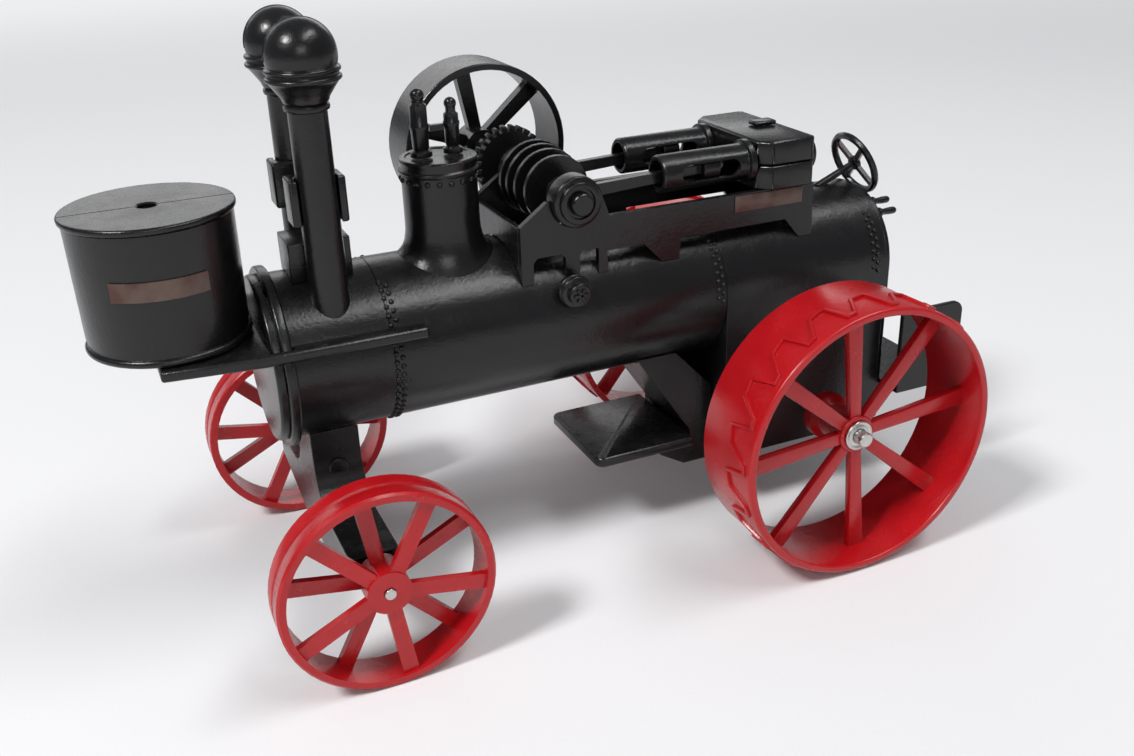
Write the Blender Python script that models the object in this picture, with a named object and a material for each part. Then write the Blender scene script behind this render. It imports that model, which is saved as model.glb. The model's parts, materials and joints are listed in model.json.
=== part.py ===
"""Cast toy of a steam traction engine with two chimneys, a front water tank and top-mounted engine.

Metres, +Z up, +X towards the front, +Y towards the engine's left side. Sizes are written from the
rear axle's line (x), the middle plane (y) and the floor (z). One empty shifts the whole engine so
that the middle of its length lies over the world origin.
"""

from math import cos, pi, radians, sin

import bmesh
import bpy
from mathutils import Matrix, Vector

# ---------------------------------------------------------------- driving sizes

gap = 0.0003  # between pieces that touch on the real casting
running = 0.0001  # radial clearance of a shaft in its bore
spoke_root = 0.0012  # how far a spoke runs into its hub and its rim

# Facets round a turned piece
boiler_steps = 64
large_steps = 56
medium_steps = 32
small_steps = 20

# Running gear
wheelbase = 0.1740
rear_wheel_radius = 0.0525
rear_wheel_outer_face = 0.0841
rear_wheel_width = 0.0309
rear_rim_wall = 0.0028
rear_hub_radius = 0.0068
rear_hub_face = 0.0745
rear_spoke_face = 0.0738
rear_spoke_thickness = 0.0032
rear_spoke_count = 8
rear_spoke_widths = (0.0046, 0.0066)  # at the hub and at the rim
rear_spoke_turn = radians(-5)
rear_axle_radius = 0.0028
rear_axle_end = 0.0800
push_nut_radius = 0.0057
push_nut_thickness = 0.0010

front_wheel_radius = 0.0358
front_wheel_outer_face = 0.0694
front_wheel_width = 0.0135
front_rim_wall = 0.0030
front_groove_depth = 0.0010
front_hub_radius = 0.0075
front_hub_face = 0.0688
front_spoke_thickness = 0.0024
front_spoke_count = 10
front_spoke_widths = (0.0050, 0.0054)  # at the hub and at the rim
front_spoke_turn = radians(46)
front_spoke_inset_outer = 0.0014
front_spoke_inset_inner = 0.0022
wheel_face_step = 0.0004  # from a rim's inner face to its hub's
front_axle_radius = 0.0020
front_axle_end = 0.0698

# Boiler
boiler_height = 0.0940
boiler_radius = 0.0283
firebox_back = -0.0450
firebox_front = 0.0272
firebox_bottom = 0.0270
backhead_thickness = 0.0022
backhead_inset = 0.0008
smokebox_back = 0.1543
smokebox_front = 0.1865
smokebox_ring_radius = 0.0310
smokebox_ring_width = 0.0035
smokebox_door_radius = 0.0285
smokebox_door_width = 0.0027

# Front tank and its deck
deck_thickness = 0.0036
deck_top = 0.1070
deck_back = 0.1430
deck_front = 0.2270
deck_shoulder = 0.1960
deck_half_width = 0.0320
deck_front_half_width = 0.0275
tank_x = 0.2202
tank_radius = 0.0257
tank_foot_radius = 0.0248
tank_bead_radius = 0.0261
tank_bead_height = 0.0026
tank_height = 0.0417
tank_lid_radius = 0.0267
tank_lid_thickness = 0.0022
tank_hole_radius = 0.0030
tank_hole_depth = 0.0060

# Chimneys
chimney_x = 0.1705
chimney_y = 0.0154
chimney_radius = 0.0062
chimney_foot_flare = 0.0002
chimney_neck_height = 0.1797
chimney_neck_lip = 0.0007
chimney_band_height = 0.1872
chimney_band_radius = 0.0117
chimney_band_width = 0.0038
chimney_ball_height = 0.1941
chimney_ball_radius = 0.0113
bracket_length = 0.0178
bracket_bottom = 0.1420
bracket_height = 0.0150
bracket_web = 0.0009
bracket_reach = 0.0023
saddle_length = 0.0205
saddle_half_width = 0.0084
saddle_top = 0.1345

# Steam dome and safety valves
dome_x = 0.1255
dome_radius = 0.0129
dome_flange_radius = 0.0138
dome_flange_height = 0.0062
dome_top = 0.1548
dome_fillet = 0.0040
valve_spacing = 0.0112
tall_valve_radius = 0.0031
tall_valve_top = 0.1775
short_valve_radius = 0.0026
short_valve_top = 0.1735
valve_bar_height = 0.1630
valve_bar_depth = 0.0022
valve_bar_width = 0.0020

# Engine bed
bed_half_width = 0.0227
bed_plate = 0.0025
bed_back = -0.0122
bed_front = 0.1060
bed_top = 0.1315
bed_rail_bottom = 0.1190
bed_arch_top = 0.1205
bed_foot = 0.1085
bed_foot_length = 0.0032
bed_gusset_length = 0.0120
bed_post_back = 0.0450
bed_post_front = 0.0490
bed_post_gusset = 0.0100
bed_arch_corner = 0.0016
bed_legs = (  # back and front of each leg under the crankshaft, from its axis
    (-0.0120, -0.0086),
    (-0.0013, 0.0040),
)
bed_front_leg = 0.0044
pedestal_top = 0.1395
pedestal_land = 0.0012
pedestal_slope = 0.0028

# Crankshaft
crank_x = 0.0855
crank_z = 0.1388
shaft_radius = 0.0040
shaft_end = 0.0300
bearing_radius = 0.0090
bearing_width = 0.0092
bearing_outer_face = 0.0278
disc_thickness = 0.0019
discs = (  # place along y, radius, notched
    (-0.0122, 0.0137, True),
    (-0.0068, 0.0134, True),
    (-0.0006, 0.0129, False),
    (0.0070, 0.0122, False),
)
disc_notch = 0.0034
gear_radius = 0.0140
gear_thickness = 0.0046
gear_place = -0.0350
flywheel_radius = 0.0335
flywheel_width = 0.0240
flywheel_inner_face = -0.0600
flywheel_rim_wall = 0.0026
flywheel_hub_radius = 0.0068
flywheel_spoke_count = 6
flywheel_spoke_turn = radians(20)
flywheel_spoke_thickness = 0.0050
flywheel_spoke_widths = (0.0048, 0.0060)  # at the hub and at the rim
flywheel_hub_length = 0.0140

# Cylinders
cylinder_y = 0.0150
cylinder_z = 0.1412
guide_radius = 0.0067
guide_bore = 0.0050
guide_front = 0.0500
guide_flange_radius = 0.0080
guide_flange_width = 0.0022
slot_front = 0.0430
slot_back = 0.0190
slot_height = 0.0062
rod_width = 0.0030
rod_height = 0.0046
rod_eye_radius = 0.0070
crosshead_back = 0.0260
crosshead_radius = 0.0042
block_front = 0.0125
block_back = -0.0105
block_half_width = 0.0255
block_corner = 0.0045
block_bottom = 0.1318
block_split = 0.1405
block_top = 0.1495
cap_length = 0.0090
cap_width = 0.0060
cap_height = 0.0016
cover_radius = 0.0070
cover_width = 0.0030

# Small fittings
feed_valve_x = 0.0890
feed_valve_z = 0.1087
feed_valve_radius = 0.0058
feed_valve_face = 0.0345
feed_valve_collar_back = 0.0270
feed_valve_collar_front = 0.0302
steering_x = -0.0480
steering_rise = 0.0067  # wheel's middle above the boiler's top
steering_tilt = radians(22)
steering_radius = 0.0135
steering_rim = 0.0014
steering_hub = 0.0026
column_radius = 0.0014
column_length = 0.0230
lever_radius = 0.0014
lever_length = 0.0085
lever_places = ((0.0126, 0.1160), (0.0172, 0.1128))

# Footplate, step and front pedestal
footplate_back = -0.0775
footplate_half_width = 0.0380
footplate_bottom = 0.0425
footplate_side_top = 0.0775
footplate_wall = 0.0022
footplate_corner = 0.0045
step_back = 0.0373
step_front = 0.0785
step_half_width = 0.0225
step_top = 0.0365
step_thickness = 0.0040
step_corner = 0.0035
step_bracket_half_width = 0.0190
step_bracket_bottom = 0.0235
step_bracket_foot = 0.0120
step_bracket_reach = 0.0225
step_bracket_nose = 0.0025
step_bracket_lip = 0.0015
step_bracket_top = 0.0740
step_bracket_top_back = 0.0450
step_bracket_top_front = 0.0610
step_bracket_root = 0.0555
pedestal_length = 0.0170
pedestal_half_width = 0.0115
arm_end = 0.0530
arm_end_height = 0.0110
pedestal_bottom = 0.0230
pedestal_flare = 0.0160
pedestal_foot_spread = 0.0040

# ---------------------------------------------------------------- worked-out sizes

rear_wheel_inner_face = rear_wheel_outer_face - rear_wheel_width
front_wheel_inner_face = front_wheel_outer_face - front_wheel_width
backhead_back = firebox_back - gap - backhead_thickness
ring_back = smokebox_front + gap
ring_front = ring_back + smokebox_ring_width
door_front = ring_front + gap + smokebox_door_width
tank_bottom = deck_top + gap
tank_top = tank_bottom + tank_height
lid_bottom = tank_top + gap
lid_top = lid_bottom + tank_lid_thickness
boiler_top = boiler_height + boiler_radius
steering_z = boiler_top + steering_rise
chimney_foot_radius = chimney_radius + chimney_foot_flare
chimney_neck_radius = chimney_radius + chimney_neck_lip
engine_front = tank_x + tank_lid_radius
middle_x = (engine_front + footplate_back) / 2

# ---------------------------------------------------------------- scene and materials


def empty_scene():
    for thing in list(bpy.data.objects):
        bpy.data.objects.remove(thing)


def paint(name, colour, roughness, metallic=0.0):
    material = bpy.data.materials.new(name)
    material.use_nodes = True
    shader = material.node_tree.nodes["Principled BSDF"]
    shader.inputs["Base Color"].default_value = (*colour, 1.0)
    shader.inputs["Roughness"].default_value = roughness
    shader.inputs["Metallic"].default_value = metallic
    material.diffuse_color = (*colour, 1.0)
    return material


empty_scene()
black = paint("black_paint", (0.012, 0.012, 0.013), 0.38)
red = paint("red_paint", (0.52, 0.012, 0.018), 0.32)
steel = paint("bare_steel", (0.62, 0.61, 0.60), 0.28, 1.0)

# ---------------------------------------------------------------- shapes

ALONG = {
    "X": Matrix(((0, 0, 1), (0, 1, 0), (-1, 0, 0))),
    "Y": Matrix(((1, 0, 0), (0, 0, 1), (0, -1, 0))),
    "Z": Matrix.Identity(3),
}


def turned(profile, axis, steps=medium_steps):
    """A solid of revolution. The profile's pairs are (radius, place along the axis)."""
    bm = bmesh.new()
    bored = all(radius > 0 for radius, place in profile)
    points = [bm.verts.new((radius, 0, place)) for radius, place in profile]
    edges = [bm.edges.new(pair) for pair in zip(points, points[1:])]
    if bored:
        edges.append(bm.edges.new((points[-1], points[0])))
    bmesh.ops.spin(
        bm, geom=points + edges, cent=(0, 0, 0), axis=(0, 0, 1), angle=2 * pi, steps=steps, use_merge=True
    )
    bmesh.ops.remove_doubles(bm, verts=bm.verts, dist=1e-6)
    bmesh.ops.transform(bm, matrix=ALONG[axis].to_4x4(), verts=bm.verts)
    bmesh.ops.recalc_face_normals(bm, faces=bm.faces)
    return bm


def prism(outline, axis, low, high):
    """An outline pushed along an axis. Pairs are (x, z) for Y, (y, z) for X and (x, y) for Z."""
    place = {
        "X": lambda u, v: (low, u, v),
        "Y": lambda u, v: (u, low, v),
        "Z": lambda u, v: (u, v, low),
    }[axis]
    push = {"X": Vector((1, 0, 0)), "Y": Vector((0, 1, 0)), "Z": Vector((0, 0, 1))}[axis]
    bm = bmesh.new()
    face = bm.faces.new([bm.verts.new(place(u, v)) for u, v in outline])
    grown = bmesh.ops.extrude_face_region(bm, geom=[face])["geom"]
    moved = [item for item in grown if isinstance(item, bmesh.types.BMVert)]
    bmesh.ops.translate(bm, verts=moved, vec=push * (high - low))
    bmesh.ops.recalc_face_normals(bm, faces=bm.faces)
    return bm


def block(low, high):
    bm = bmesh.new()
    low, high = Vector(low), Vector(high)
    fit = Matrix.Translation((low + high) / 2) @ Matrix.Diagonal((*(high - low), 1))
    bmesh.ops.create_cube(bm, size=1, matrix=fit)
    return bm


def arc(centre, radius, start, end, steps):
    """Points on an arc, angles in degrees from the first axis towards the second."""
    angles = [radians(start + (end - start) * n / steps) for n in range(steps + 1)]
    return [(centre[0] + radius * cos(a), centre[1] + radius * sin(a)) for a in angles]


def rod(radius, low, high, bevel=0.0):
    """Profile of a plain round bar with chamfered ends."""
    side = [
        (radius - bevel, low),
        (radius, low + bevel),
        (radius, high - bevel),
        (radius - bevel, high),
    ]
    return [(0, low)] + side + [(0, high)]


def sleeve(bore, radius, low, high, bevel=0.0):
    """Profile of a round piece with a bore."""
    return [(bore, low)] + rod(radius, low, high, bevel)[1:-1] + [(bore, high)]


# ---------------------------------------------------------------- objects

engine = bpy.data.objects.new("engine", None)
bpy.context.scene.collection.objects.link(engine)
engine.location = (-middle_x, 0, 0)


def joint_point(name, x, y, z):
    empty = bpy.data.objects.new(name, None)
    bpy.context.scene.collection.objects.link(empty)
    empty.parent = engine
    empty.location = (x, y, z)
    return empty


def piece(name, bm, material, place=(0, 0, 0), parent=engine, smooth=True):
    mesh = bpy.data.meshes.new(name)
    bm.to_mesh(mesh)
    bm.free()
    mesh.materials.append(material)
    if smooth:
        mesh.shade_smooth()
        mesh.set_sharp_from_angle(angle=radians(35))
    thing = bpy.data.objects.new(name, mesh)
    bpy.context.scene.collection.objects.link(thing)
    thing.parent = parent
    thing.location = place
    return thing


def tool(name, bm, place=(0, 0, 0), parent=engine, turn=(0, 0, 0)):
    guide = piece("tool_" + name, bm, black, place, parent, smooth=False)
    guide.rotation_euler = turn
    guide.display_type = "WIRE"
    guide.hide_render = True
    return guide


def combine(target, operand, operation="DIFFERENCE"):
    step = target.modifiers.new(operand.name, "BOOLEAN")
    step.operation = operation
    step.solver = "EXACT"
    step.object = operand


def soften(target, width, segments=2):
    step = target.modifiers.new("soften", "BEVEL")
    step.width = width
    step.segments = segments
    step.limit_method = "ANGLE"
    step.angle_limit = radians(40)


SIDES = (("left", 1), ("right", -1))

# ---------------------------------------------------------------- clearance tools

boiler_clearance = tool(
    "boiler_clearance",
    turned(rod(boiler_radius + gap, firebox_back - 0.01, ring_back), "X", boiler_steps),
    (0, 0, boiler_height),
)

chimney_bores = {}
for side, sign in SIDES:
    bore = rod(chimney_foot_radius + gap, boiler_height * 0.5, chimney_neck_height - 0.002)
    chimney_bores[side] = tool(
        "chimney_bore_" + side,
        turned(bore, "Z", medium_steps),
        (chimney_x, sign * chimney_y, 0),
    )

# ---------------------------------------------------------------- boiler


def wrapper_outline(inset):
    """Firebox section: straight sides under a half round that follows the barrel."""
    radius = boiler_radius - inset
    return [(-radius, firebox_bottom + inset), (radius, firebox_bottom + inset)] + arc(
        (0, boiler_height), radius, 0, 180, 32
    )


def make_boiler():
    firebox = piece("firebox", prism(wrapper_outline(0), "X", firebox_back, firebox_front), black)
    reach = boiler_radius * 2
    bore = turned(rod(rear_axle_radius + running, -reach, reach), "Y", small_steps)
    combine(firebox, tool("rear_axle_bore", bore, (0, 0, rear_wheel_radius)))
    backhead = prism(wrapper_outline(backhead_inset), "X", backhead_back, firebox_back - gap)
    piece("backhead", backhead, black)
    drums = (
        ("boiler_barrel", rod(boiler_radius, firebox_front + gap, smokebox_back - gap)),
        ("smokebox", rod(boiler_radius, smokebox_back, smokebox_front)),
        ("smokebox_ring", rod(smokebox_ring_radius, ring_back, ring_front, 0.0006)),
        ("smokebox_door", rod(smokebox_door_radius, ring_front + gap, door_front, 0.0008)),
    )
    for name, profile in drums:
        piece(name, turned(profile, "X", boiler_steps), black, (0, 0, boiler_height))


def make_deck():
    half = [
        (deck_back, deck_half_width),
        (deck_shoulder, deck_half_width - 0.0006),
        (deck_front, deck_front_half_width),
    ]
    outline = half + [(x, -y) for x, y in reversed(half)]
    deck = piece("platform_deck", prism(outline, "Z", deck_top - deck_thickness, deck_top), black)
    soften(deck, 0.0007)
    combine(deck, boiler_clearance)
    seat = rod(smokebox_ring_radius + gap, ring_back - gap, door_front + gap)
    combine(deck, tool("deck_seat", turned(seat, "X", boiler_steps), (0, 0, boiler_height)))
    for side, sign in SIDES:
        combine(deck, chimney_bores[side])


def make_tank():
    height = tank_top - tank_bottom
    profile = [
        (0, 0),
        (tank_foot_radius, 0),
        (tank_bead_radius, tank_bead_height * 0.3),
        (tank_bead_radius, tank_bead_height * 0.7),
        (tank_foot_radius, tank_bead_height),
        (tank_radius, height),
        (tank_hole_radius, height),
        (tank_hole_radius, height - tank_hole_depth),
        (0, height - tank_hole_depth),
    ]
    piece("front_tank", turned(profile, "Z", large_steps), black, (tank_x, 0, tank_bottom))
    lid = sleeve(tank_hole_radius, tank_lid_radius, 0, tank_lid_thickness, 0.0004)
    piece("tank_lid", turned(lid, "Z", large_steps), black, (tank_x, 0, lid_bottom))


def chimney_profile():
    band_top = chimney_band_height + chimney_band_width
    ball = arc((0, chimney_ball_height), chimney_ball_radius, 0, 90, 9)
    ball[-1] = (0, chimney_ball_height + chimney_ball_radius)
    return [
        (0, boiler_height),
        (chimney_foot_radius, boiler_height),
        (chimney_radius, chimney_neck_height - 0.0014),
        (chimney_neck_radius, chimney_neck_height - 0.0010),
        (chimney_neck_radius, chimney_neck_height + 0.0008),
        (chimney_band_radius - 0.0006, chimney_band_height),
        (chimney_band_radius, chimney_band_height + 0.0006),
        (chimney_band_radius, band_top - 0.0006),
        (chimney_band_radius - 0.0009, band_top),
    ] + ball


def make_chimneys():
    saddle_low = (chimney_x - saddle_length / 2, -saddle_half_width, boiler_height)
    saddle_high = (chimney_x + saddle_length / 2, saddle_half_width, saddle_top)
    saddle = piece("chimney_saddle", block(saddle_low, saddle_high), black, smooth=False)
    soften(saddle, 0.0006)
    combine(saddle, boiler_clearance)
    for side, sign in SIDES:
        place = (chimney_x, sign * chimney_y, 0)
        stack = piece("chimney_" + side, turned(chimney_profile(), "Z", medium_steps), black, place)
        combine(stack, boiler_clearance)
        combine(saddle, chimney_bores[side])
        inner = sign * (chimney_y - chimney_foot_radius - gap - bracket_web)
        outer = sign * (chimney_y + bracket_reach)
        low = (chimney_x - bracket_length / 2, min(inner, outer), bracket_bottom)
        high = (chimney_x + bracket_length / 2, max(inner, outer), bracket_bottom + bracket_height)
        bracket = piece("chimney_bracket_" + side, block(low, high), black, smooth=False)
        soften(bracket, 0.0006)
        combine(bracket, chimney_bores[side])


def make_dome():
    base = boiler_height
    foot = boiler_top
    profile = [
        (0, base),
        (dome_radius + dome_fillet, base),
        (dome_radius + dome_fillet, foot - 0.0010),
        (dome_radius + dome_fillet * 0.35, foot + dome_fillet * 0.25),
        (dome_radius, foot + dome_fillet),
        (dome_radius, dome_top - dome_flange_height),
        (dome_flange_radius, dome_top - dome_flange_height + 0.0005),
        (dome_flange_radius, dome_top - 0.0008),
        (dome_flange_radius - 0.0008, dome_top),
        (0, dome_top),
    ]
    dome = piece("steam_dome", turned(profile, "Z", medium_steps + 8), black, (dome_x, 0, 0))
    combine(dome, boiler_clearance)
    valves = (
        ("safety_valve_front", valve_spacing / 2, tall_valve_radius, tall_valve_top),
        ("safety_valve_back", -valve_spacing / 2, short_valve_radius, short_valve_top),
    )
    for name, offset, radius, top in valves:
        foot = dome_top + gap
        shape = [
            (0, foot),
            (radius + 0.0006, foot),
            (radius + 0.0006, foot + 0.0016),
            (radius * 0.86, foot + 0.0024),
            (radius, foot + 0.0040),
            (radius, top - 0.0042),
            (radius * 0.72, top - 0.0034),
            (radius * 0.72, top - 0.0010),
            (radius * 0.45, top),
            (0, top),
        ]
        piece(name, turned(shape, "Z", small_steps), black, (dome_x + offset, 0, 0))
    back = dome_x - valve_spacing / 2 + short_valve_radius + gap
    front = dome_x + valve_spacing / 2 - tall_valve_radius - gap
    half = valve_bar_width / 2
    bar = block((back, -half, valve_bar_height), (front, half, valve_bar_height + valve_bar_depth))
    piece("safety_valve_bar", bar, black, smooth=False)


# ---------------------------------------------------------------- engine on top


def bed_side_outline():
    """Side plate in (x, z): rail with two gussets, and the crank pedestal in front on three legs."""
    post_shoulder = bed_post_back - 0.0009
    first, second = [(crank_x + back, crank_x + front) for back, front in bed_legs]
    last = bed_front - bed_front_leg
    land = bearing_radius + pedestal_land
    return [
        (bed_back, bed_top),
        (bed_back, bed_foot),
        (bed_back + bed_foot_length, bed_foot),
        (bed_back + bed_gusset_length, bed_rail_bottom),
        (post_shoulder, bed_rail_bottom),
        (bed_post_back, bed_foot),
        (bed_post_front, bed_foot),
        (bed_post_front + bed_post_gusset, bed_rail_bottom),
        (first[0], bed_rail_bottom),
        (first[0], bed_foot),
        (first[1], bed_foot),
        (first[1], bed_arch_top),
        (second[0], bed_arch_top),
        (second[0], bed_foot),
        (second[1], bed_foot),
        (second[1], bed_arch_top - bed_arch_corner),
        (second[1] + bed_arch_corner, bed_arch_top),
        (last - bed_arch_corner, bed_arch_top),
        (last, bed_arch_top - bed_arch_corner),
        (last, bed_foot),
        (bed_front, bed_foot),
        (bed_front, bed_top + 0.0005),
        (crank_x + land, pedestal_top),
        (crank_x - land, pedestal_top),
        (crank_x - land - pedestal_slope, bed_top),
    ]


def make_bed():
    bearing_clearance = tool(
        "bearing_seats",
        turned(rod(bearing_radius + gap, -bed_half_width * 1.5, bed_half_width * 1.5), "Y", medium_steps),
        (crank_x, 0, crank_z),
    )
    bearing_inner = bearing_outer_face - bearing_width
    for side, sign in SIDES:
        low, high = sorted((sign * bed_half_width, sign * (bed_half_width - bed_plate)))
        plate = piece("bed_side_" + side, prism(bed_side_outline(), "Y", low, high), black, smooth=False)
        combine(plate, boiler_clearance)
        combine(plate, bearing_clearance)
        low, high = sorted((sign * bearing_inner, sign * bearing_outer_face))
        ring = sleeve(shaft_radius + running, bearing_radius, low, high, 0.0012)
        piece("crank_bearing_" + side, turned(ring, "Y", medium_steps), black, (crank_x, 0, crank_z))
    inside = bed_half_width - bed_plate - gap
    walls = (
        ("bed_wall_front", bed_front - bed_plate, bed_front),
        ("bed_wall_back", bed_back, bed_back + bed_plate),
    )
    for name, low, high in walls:
        plate = block((low, -inside, boiler_height), (high, inside, bed_top - gap))
        wall = piece(name, plate, black, smooth=False)
        combine(wall, boiler_clearance)


def crankshaft_profile():
    ends = flywheel_inner_face - flywheel_width
    half = disc_thickness / 2
    profile = [(0, ends), (shaft_radius - 0.0004, ends), (shaft_radius, ends + 0.0004)]
    for place, radius, notched in discs:
        profile += [
            (shaft_radius, place - half),
            (radius, place - half),
            (radius, place + half),
            (shaft_radius, place + half),
        ]
    tip = [(shaft_radius, shaft_end - 0.0006), (shaft_radius - 0.0006, shaft_end), (0, shaft_end)]
    return profile + tip


def bar_outline(near, far, near_half, far_half, turn):
    """A tapered bar from one radius to another, in (x, z), turned about the wheel's centre."""
    corners = [(near, -near_half), (far, -far_half), (far, far_half), (near, near_half)]
    return [(x * cos(turn) - z * sin(turn), x * sin(turn) + z * cos(turn)) for x, z in corners]


def add_spokes(wheel, name, count, turn, reach, widths, places, thickness, centre):
    """Unites straight spokes with a wheel.

    reach holds the hub's radius and the rim's inside radius. places are the spokes' middles along
    Y, taken in turn.
    """
    near, far = reach[0] - spoke_root, reach[1] + spoke_root
    for number in range(count):
        angle = turn + 2 * pi * number / count
        low = places[number % len(places)] - thickness / 2
        outline = bar_outline(near, far, widths[0] / 2, widths[1] / 2, angle)
        spoke = prism(outline, "Y", low, low + thickness)
        bar = tool(name + "_" + str(number), spoke, centre.location, centre.parent)
        combine(wheel, bar, "UNION")


def make_crank():
    axis = joint_point("crank_axis", crank_x, 0, crank_z)
    crank = piece("crankshaft", turned(crankshaft_profile(), "Y", medium_steps), black, parent=axis)
    for number, (place, radius, notched) in enumerate(discs):
        if not notched:
            continue
        low = place - disc_thickness
        angle = radians(-150)
        notch = prism(
            bar_outline(radius - disc_notch, radius * 1.2, disc_notch / 2, disc_notch, angle),
            "Y",
            low,
            low + 2 * disc_thickness,
        )
        combine(crank, tool("disc_notch_" + str(number), notch, parent=axis))
    bore = shaft_radius + gap
    gear = sleeve(bore, gear_radius, gear_place - gear_thickness, gear_place, 0.0005)
    piece("crank_gear", turned(gear, "Y", medium_steps), black, parent=axis)
    outer_face = flywheel_inner_face - flywheel_width
    rim_inside = flywheel_radius - flywheel_rim_wall
    rim = sleeve(rim_inside, flywheel_radius, outer_face, flywheel_inner_face, 0.0004)
    wheel = piece("flywheel", turned(rim, "Y", large_steps), black, parent=axis)
    middle = (outer_face + flywheel_inner_face) / 2
    hub_half = flywheel_hub_length / 2
    hub = sleeve(bore, flywheel_hub_radius, middle - hub_half, middle + hub_half)
    combine(wheel, tool("flywheel_hub", turned(hub, "Y", medium_steps), parent=axis), "UNION")
    add_spokes(
        wheel,
        "flywheel_spoke",
        flywheel_spoke_count,
        flywheel_spoke_turn,
        (flywheel_hub_radius, rim_inside),
        flywheel_spoke_widths,
        (middle,),
        flywheel_spoke_thickness,
        axis,
    )


def make_cylinders():
    guide_back = block_front + gap
    guide = [
        (guide_bore, guide_back),
        (guide_flange_radius, guide_back),
        (guide_flange_radius, guide_back + guide_flange_width),
        (guide_radius, guide_back + guide_flange_width + 0.0005),
        (guide_radius, guide_front - 0.0006),
        (guide_radius - 0.0006, guide_front),
        (guide_bore, guide_front),
    ]
    half = slot_height / 2
    slot = arc((slot_front - half, 0), half, -90, 90, 8) + arc((slot_back + half, 0), half, 90, 270, 8)
    for side, sign in SIDES:
        place = (0, sign * cylinder_y, cylinder_z)
        tube = piece("crosshead_guide_" + side, turned(guide, "X", medium_steps), black, place)
        reach = guide_radius * 1.5
        combine(tube, tool("guide_slot_" + side, prism(slot, "Y", -reach, reach), place))
        low, high = sorted((sign * (cylinder_y - rod_width / 2), sign * (cylinder_y + rod_width / 2)))
        drop = crank_z - cylinder_z
        back_half = rod_height / 2 - 0.0006
        arm = [
            (crosshead_back + 0.002, cylinder_z - back_half),
            (crank_x - rod_eye_radius * 0.6, cylinder_z + drop - rod_height / 2),
            (crank_x - rod_eye_radius * 0.6, cylinder_z + drop + rod_height / 2),
            (crosshead_back + 0.002, cylinder_z + back_half),
        ]
        rod_piece = piece("connecting_rod_" + side, prism(arm, "Y", low, high), black, smooth=False)
        big_end = (crank_x, 0, crank_z)
        eye = turned(sleeve(shaft_radius + running, rod_eye_radius, low, high), "Y", medium_steps)
        combine(rod_piece, tool("rod_eye_" + side, eye, big_end), "UNION")
        shaft_bore = turned(rod(shaft_radius + running, -shaft_end, shaft_end), "Y", medium_steps)
        combine(rod_piece, tool("rod_bore_" + side, shaft_bore, big_end))
        head = rod(guide_bore - gap, crosshead_back, crosshead_back + 0.0070, 0.0004)
        combine(rod_piece, tool("crosshead_" + side, turned(head, "X", medium_steps), place), "UNION")
        cover_back = block_back - gap - cover_width
        cover = rod(cover_radius, cover_back, block_back - gap, 0.0008)
        piece("cylinder_cover_" + side, turned(cover, "X", medium_steps), black, place)
    end = block_half_width
    quarter = [(block_front, end - block_corner), (block_front - block_corner, end)]
    rear = [(block_back + 0.0016, end), (block_back, end - 0.0016)]
    half_plan = quarter + rear
    plan = half_plan + [(x, -y) for x, y in reversed(half_plan)]
    lower = piece("cylinder_block", prism(plan, "Z", block_bottom, block_split), black, smooth=False)
    upper = piece("valve_chest", prism(plan, "Z", block_split + gap, block_top), black, smooth=False)
    soften(lower, 0.0005)
    soften(upper, 0.0008)
    cap_low = (-cap_length / 2 - 0.0035, -cap_width / 2, block_top + gap)
    cap_high = (cap_length / 2 - 0.0035, cap_width / 2, block_top + gap + cap_height)
    cap = piece("chest_cap", block(cap_low, cap_high), black, smooth=False)
    soften(cap, 0.0005)


# ---------------------------------------------------------------- small fittings


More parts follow.
